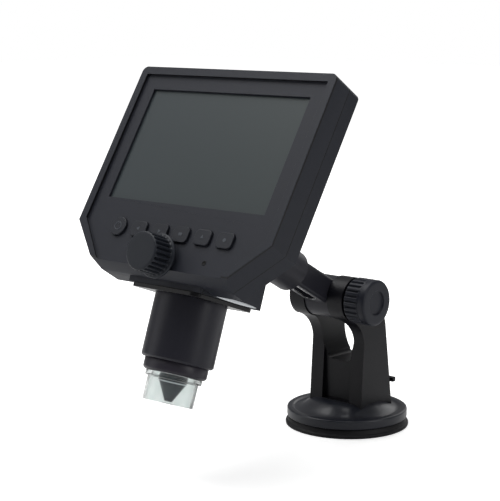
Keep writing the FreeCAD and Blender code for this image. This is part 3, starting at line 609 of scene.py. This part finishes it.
def clear(name, colour, roughness=0.04, frost=0.0):
    """A clear plastic or glass with faint moulding ripples."""
    material, shader, place = new_material(name)
    ripple = noise(place, 5 * MM, 1.0)
    feed(shader, "Roughness", (roughness + frost * ripple).clamped(0.0, 1.0))
    feed(shader, "Normal", bumped(place, ripple, 0.15, 0.1 * MM))
    feed(shader, "Base Color", tinted(place, ripple, colour, (1.0, 1.0, 1.0, 1.0)))
    shader.inputs["Transmission Weight"].default_value = 1.0
    shader.inputs["IOR"].default_value = 1.49
    return material


LAMP = clear("lamp_resin", srgb(250, 250, 238), roughness=0.1)
LENS = clear("lens_glass", srgb(225, 236, 245), roughness=0.01)
CLEAR = clear("clear_plastic", srgb(222, 233, 230), roughness=0.08, frost=0.08)
# A near-white plastic used for painted highlights: a thin ring at the hood's joint and a sliver on the lens
# block's lower right edge.
PAINTED_HIGHLIGHT = moulded("pale_painted_highlight", srgb(214, 218, 222), roughness=0.15, grain=0.05, wear=0.2, coat=0.6)
softened_node("flange_plate", PLATE_SHADED, 0.35 * MM)
BARREL_WALLS = [(17.2, 3.0), (17.2, -31.0), (17.05, -31.4), (16.4, -32.05), (16.1, -32.2), (12.5, -32.2),
                (12.5, -30.6), (15.4, -30.6), (15.4, 3.0)]
turned_piece("barrel_wall", BARREL_WALLS, COLUMN, BARREL, node="barrel_tube")
RING_WALLS = [(15.1, -32.2), (15.1, -36.5), (14.95, -36.9), (14.2, -37.65), (13.8, -37.8), (10.0, -37.8),
              (10.0, -36.3), (13.3, -36.3), (13.3, -32.2)]
turned_piece("ring_wall", RING_WALLS, COLUMN, END_RING_LIT, node="barrel_ring")
CAP_WALLS = [(10.8, -37.8), (13.1, -37.8), (13.4, -38.1), (13.4, -40.1), (13.1, -40.4), (12.2, -40.4),
             (12.0, -40.7), (12.0, -51.1), (11.8, -51.4), (11.1, -51.4), (10.8, -51.1)]
turned_piece("cap_wall", CAP_WALLS, COLUMN, CLEAR, node="clear_cap")
HOOD_WALLS = [(8.4, -34.3), (8.4, -35.1), (7.1, -35.1), (6.6, -41.4), (6.5, -41.9), (6.2, -42.4),
              (2.0, -49.9), (1.8, -50.3), (1.0, -50.3), (5.3, -41.9), (5.6, -34.3)]
turned_piece("hood_wall", HOOD_WALLS, COLUMN, HOOD, node="lens_hood")
# A thin pale ring where the collar meets the cone, a painted highlight.
JOINT_HIGHLIGHT = [(6.2, -41.5), (6.72, -41.55), (6.82, -41.8), (6.72, -42.05), (6.2, -42.1)]
turned_piece("hood_joint_highlight", JOINT_HIGHLIGHT, COLUMN, PAINTED_HIGHLIGHT, body="device")
# A pale sliver along the lens block's lower right edge, a painted highlight.
HIGHLIGHT_SLIVER_SIZE = Vector((0.3, 15.5, 0.75)) * MM
bm = bmesh.new()
bmesh.ops.create_uvsphere(bm, u_segments=32, v_segments=16, radius=1.0)
highlight_sliver_place = COLUMN @ shift(22.45, 5.0, 0.75) @ Matrix.Diagonal(HIGHLIGHT_SLIVER_SIZE.to_4d())
bmesh.ops.transform(bm, matrix=highlight_sliver_place, verts=bm.verts)
finish_piece("block_edge_highlight", bm, PAINTED_HIGHLIGHT, body="device")
plain_node("led_board", LED_BOARD)
plain_node("led_lamps", LAMP)
plain_node("objective_lens", LENS)


# Ball mount and arm
# A screwed plate on the back of the lens block carries the ball. The collar closes over it at the end of a
# square arm, whose underside has a round-ended slot ringed by a bright metal lip, a painted highlight along
# the slot's edges.
# The arm, ball plate and collar have the stand's plastic painted paler: painted light against the shade under
# the housing.
ARM_PLASTIC_LIT = moulded("arm_plastic_painted_light", srgb(39, 39, 45), roughness=0.4, grain=0.25)
softened_node("ball_plate", ARM_PLASTIC_LIT, 0.35 * MM)
softened_node("arm", ARM_PLASTIC_LIT, 0.5 * MM)
softened_node("lock_collar", ARM_PLASTIC_LIT, 0.6 * MM)
ARM = PIVOT @ Matrix.Rotation(math.pi, 4, "Z") @ swing(29.0, "X")
BALL = COLUMN.inverted() @ ARM @ (Vector((0, 50.0, 0)) * MM)
MOUNT_FACE = 26.8     # the plate's back, behind the optical axis
MOUNT_SCREWS = ((-13, -12), (13, -12), (-13, 12), (13, 12))
for i, (x, z) in enumerate(MOUNT_SCREWS):
    place = COLUMN @ shift(x, MOUNT_FACE, z + BALL.z / MM) @ swing(-90, "X")
    screw(f"mount_screw_{i}", place, "device", STEEL)
SLOT_HALF = 3.4
SLOT_START = 12.6
SLOT_END = 36.0
ARM_UNDER = -6.5
LIP_W = 1.0
LIP_T = 0.55
# The lip: a bright metal rim round the slot, a painted highlight along its edges.
bm = bmesh.new()
made = bmesh.ops.create_circle(bm, cap_ends=True, segments=48, radius=(SLOT_HALF + LIP_W) * MM)
for v in made["verts"]:
    if v.co.y > 0.1 * MM:
        v.co.y += (SLOT_END - SLOT_START - SLOT_HALF) * MM
rim = bmesh.ops.inset_region(bm, faces=bm.faces[:], thickness=LIP_W * MM, use_boundary=True,
                             use_even_offset=True)["faces"]
bmesh.ops.delete(bm, geom=[f for f in bm.faces if f not in set(rim)], context="FACES")
bmesh.ops.transform(bm, matrix=ARM @ shift(0, SLOT_START + SLOT_HALF, ARM_UNDER), verts=bm.verts)
bmesh.ops.solidify(bm, geom=bm.faces[:], thickness=-LIP_T * MM)
SLOT_HIGHLIGHT_METAL = metal("slot_highlight_metal", (0.86, 0.87, 0.88, 1.0), 0.3)
finish_piece("slot_highlight_lip", bm, SLOT_HIGHLIGHT_METAL, body="arm", bevel=0.12 * MM)


# Fork and pivot
# Two nylon legs rise from the base and lean forward into round ears. The inner faces of the legs are hollowed
# between the web and the ears. A steel bolt clamps the arm between them; a dark hexagon laid on its head is
# painted shade for the socket in it.
# The stand's plastic painted darker than the arm's: painted shade against the light on the upright's front.
STAND_SHADED = moulded("stand_plastic", srgb(18, 18, 23), roughness=0.42, grain=0.25, shine=0.24)
LEG_INNER = 7.6
GAP_FLOOR = 39.5
GAP_CORNER = 2.5
GAP_DROP = 4.0        # how much lower the gap's floor is than the frame's
HOLLOW_LOW = 38.2
HOLLOW_HIGH = 60.5
HOLLOW_DEPTH = 2.7
HOLLOW_STEPS = 16
bm = node_mesh("fork_upright")
for v in bm.verts:
    by_floor = GAP_FLOOR - 0.1 < v.co.z / MM < GAP_FLOOR + GAP_CORNER + 0.1
    if by_floor and abs(v.co.x) / MM < LEG_INNER + 0.05:
        v.co.z -= GAP_DROP * MM
for step in range(HOLLOW_STEPS + 1):
    level = HOLLOW_LOW + (HOLLOW_HIGH - HOLLOW_LOW) * step / HOLLOW_STEPS
    bmesh.ops.bisect_plane(bm, geom=bm.verts[:] + bm.edges[:] + bm.faces[:], dist=0.001 * MM,
                           plane_co=(0, 0, level * MM), plane_no=(0, 0, 1))
for v in bm.verts:
    height = v.co.z / MM
    if HOLLOW_LOW < height < HOLLOW_HIGH and abs(abs(v.co.x) / MM - LEG_INNER) < 0.05:
        bulge = math.sin(math.pi * (height - HOLLOW_LOW) / (HOLLOW_HIGH - HOLLOW_LOW)) ** 0.7
        v.co.x += math.copysign(HOLLOW_DEPTH * bulge * MM, v.co.x)
finish_piece("fork_legs", bm, STAND_SHADED, node="fork_upright", bevel=1.0 * MM, segments=4, angle=40.0)
softened_node("pivot_bolt", STEEL, 0.3 * MM)
BOLT_FACE = -18.98
# A dark hexagon laid on the bolt's head, painted shade for its socket.
bm = bmesh.new()
flat_mark(bm, PIVOT @ shift(BOLT_FACE, 0, 0) @ swing(-90, "Y"), 2.2, 6)
finish_piece("bolt_socket_shade", bm, RECESS_SHADE, body="stand", bevel=0.05 * MM)
softened_node("pivot_washer", STEEL, 0.15 * MM)


# Suction base
# A glossy domed cover with a raised rim sits on a soft rubber cup. The lever behind the legs turns a cam on
# its pin and lifts the stem, which pulls the middle of the cup up.
BASE = moulded("base_plastic", srgb(34, 36, 43), roughness=0.36, grain=0.06, coat=0.12, shine=0.36)
RUBBER = moulded("cup_rubber", srgb(22, 22, 25), roughness=0.55, grain=0.5, grain_size=0.8 * MM, wear=0.2)
BASE_TURN = Matrix.Identity(4)
COVER_WALLS = [(6.0, 4.6), (31.3, 4.6), (31.75, 4.8), (31.9, 5.3), (31.9, 8.5), (31.75, 9.05),
               (31.3, 9.35), (30.7, 9.4), (29.4, 9.4), (28.8, 9.25), (28.3, 8.85), (27.7, 8.6),
               (26.9, 8.62), (25.6, 8.95), (24.0, 9.6), (22.4, 10.5), (20.8, 11.5), (19.0, 12.5),
               (17.4, 13.25), (16.0, 13.7), (14.0, 13.95), (12.0, 14.0), (3.1, 14.0), (3.1, 11.0),
               (6.0, 11.0)]
turned_piece("cover_dome", COVER_WALLS, BASE_TURN, BASE, steps=128, node="base_cover")
CUP_WALLS = [(0, 0.6), (26.7, 0.0), (32.2, 0.0), (32.6, 0.2), (32.7, 0.7), (32.7, 1.3), (32.5, 1.7),
             (31.9, 2.0), (31.6, 2.2), (31.6, 2.6), (31.3, 3.4), (30.8, 4.2), (30.5, 4.6), (4.8, 4.6),
             (4.8, 1.3), (0, 1.3)]
turned_piece("cup_wall", CUP_WALLS, BASE_TURN, RUBBER, steps=128, node="suction_cup")
softened_node("cam_lever", STAND_SHADED, 0.5 * MM)
plain_node("pull_stem", STEEL)
plain_node("lever_pin", STEEL)
